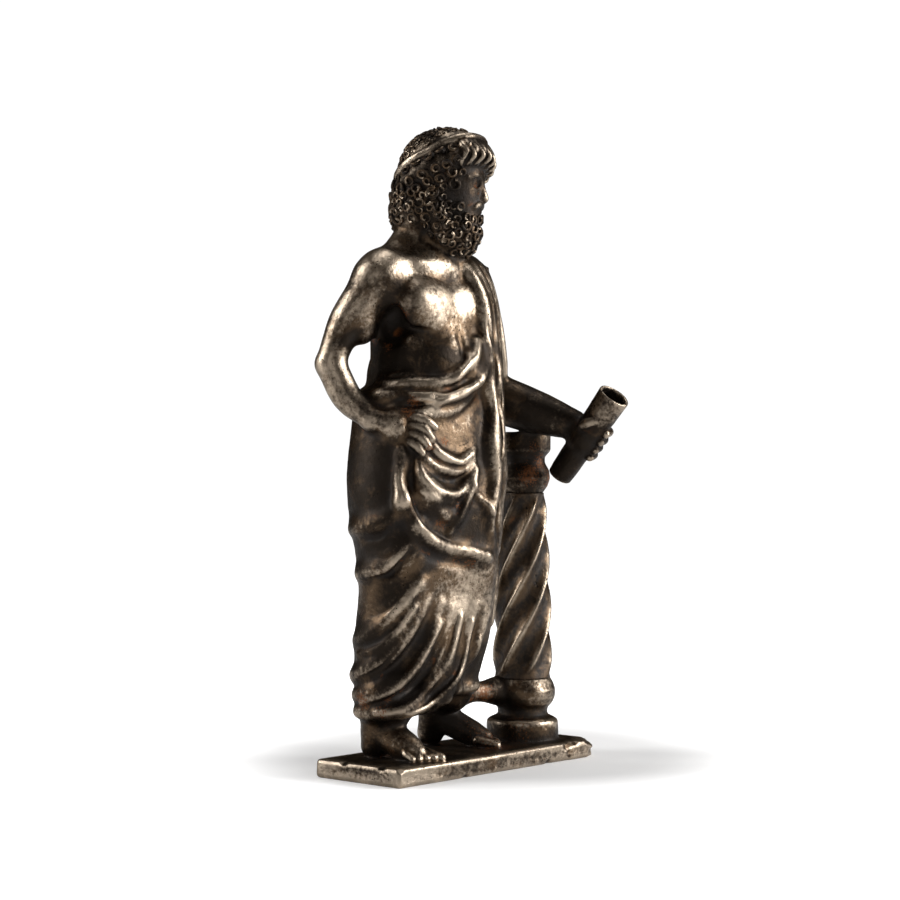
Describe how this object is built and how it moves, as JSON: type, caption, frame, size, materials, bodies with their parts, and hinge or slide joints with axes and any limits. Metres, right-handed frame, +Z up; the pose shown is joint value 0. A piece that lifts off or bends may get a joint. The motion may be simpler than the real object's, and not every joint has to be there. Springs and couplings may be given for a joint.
{
  "type": "cast metal statuette",
  "caption": "Small cast silver statuette of a bearded, draped god with a hand on his hip, leaning on a spiral-fluted column, on a flat rectangular plinth.",
  "frame": {"origin": "centre of the plinth's flat underside", "axes": "+Z up; -Y is the front, where the figure faces; +X towards the figure's left, where the column stands"},
  "size_m": [0.0515, 0.0304, 0.1025],
  "materials": {
    "patinated_silver": "satin cast silver with dark brown patina in the hollows"
  },
  "bodies": {
    "root": {"zeus_statuette": "patinated_silver"}
  },
  "joints": []
}
